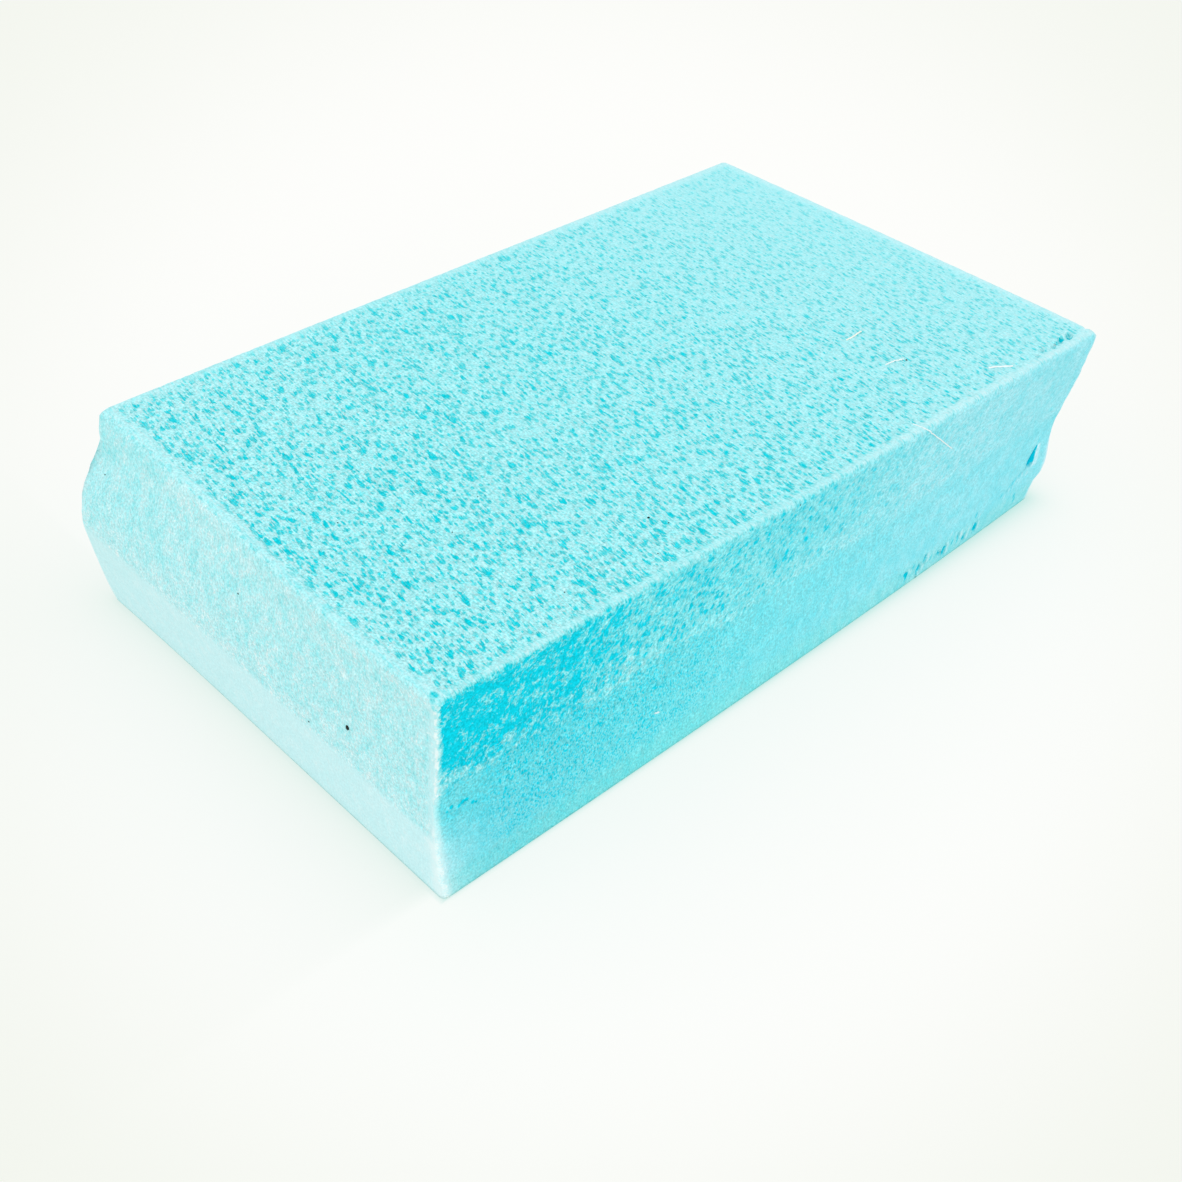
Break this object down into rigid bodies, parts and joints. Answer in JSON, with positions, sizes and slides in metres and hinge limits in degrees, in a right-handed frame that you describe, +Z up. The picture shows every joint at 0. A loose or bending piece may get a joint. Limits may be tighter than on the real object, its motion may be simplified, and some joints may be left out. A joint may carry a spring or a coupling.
{
  "type": "foam block",
  "caption": "Rectangular offcut of rigid foam board with a flat pitted top, scored and snapped sides, a torn flap and a nicked base edge.",
  "frame": {"origin": "centre of the block's footprint, on the surface that it rests on", "axes": "+X along the length, from the end that bulges to the end with the torn flap; +Y across the width, from the nicked side to the plain side; +Z up through the thickness of the board"},
  "size_m": [0.1016, 0.0586, 0.025],
  "materials": {
    "foam": "matte pale blue closed-cell foam, pitted on the planed top, streaked where it was snapped and smooth where it was scored"
  },
  "bodies": {
    "root": {"foam_block": "foam"}
  },
  "joints": []
}
